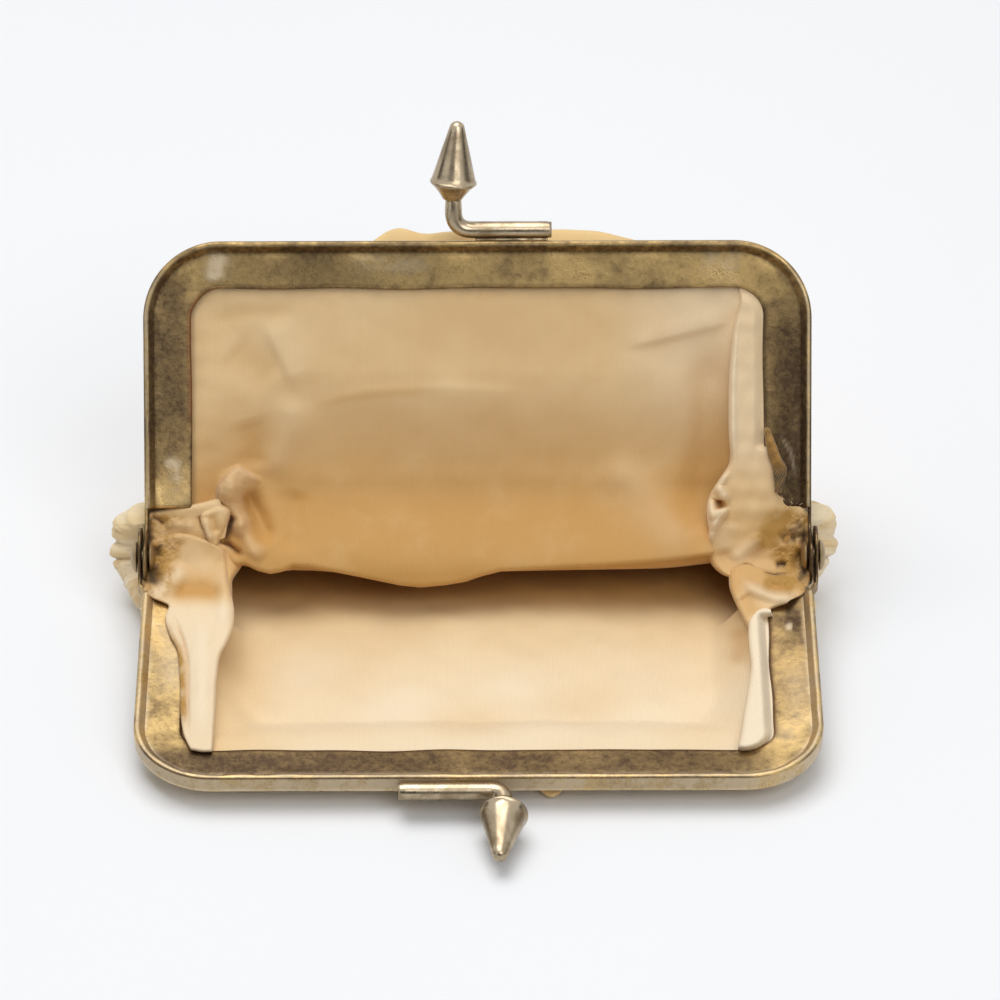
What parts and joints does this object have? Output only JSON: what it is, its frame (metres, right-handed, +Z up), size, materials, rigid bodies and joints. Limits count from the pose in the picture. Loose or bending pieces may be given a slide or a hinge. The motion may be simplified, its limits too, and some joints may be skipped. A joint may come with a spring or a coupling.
{
  "type": "kiss lock coin purse",
  "caption": "Small satin coin purse on a hinged brass frame, lying wide open, with two cone knobs on bent arms that snap past each other to close it.",
  "frame": {"origin": "on the surface that the purse lies on, under the middle of its box", "axes": "+X to the right as one looks into the mouth, +Y from the front bar to the end of the bag, +Z up"},
  "size_m": [0.0896, 0.0972, 0.0596],
  "materials": {
    "frame_brass": "tarnished, mottled, worn bright along the rims",
    "rivet_brass": "tarnished",
    "clasp_metal": "worn plating with a soft shine",
    "outer_satin": "yellow gold satin, aged",
    "lining_satin": "champagne satin with a fine diagonal twill",
    "paper_cord": "twisted paper"
  },
  "bodies": {
    "front_half": {"front_frame": "frame_brass", "hinge_rivet_left": "rivet_brass", "hinge_rivet_right": "rivet_brass", "clasp_arm_front": "clasp_metal", "clasp_knob_front": "clasp_metal", "channel_cord_front": "paper_cord", "bag_front_panel": "outer_satin", "bag_back_panel_lower": "outer_satin", "lining_front_panel": "lining_satin", "lining_back_panel_lower": "lining_satin"},
    "back_half": {"back_frame": "frame_brass", "clasp_arm_back": "clasp_metal", "clasp_knob_back": "clasp_metal", "channel_cord_back": "paper_cord", "bag_back_panel_upper": "outer_satin", "lining_back_panel_upper": "lining_satin"}
  },
  "joints": [
    {"name": "mouth_hinge", "type": "hinge", "parent": "front_half", "child": "back_half", "pos_m": [0, 0.00534, 0.01], "axis": [1, 0, 0], "range_deg": [0, 127]}
  ]
}
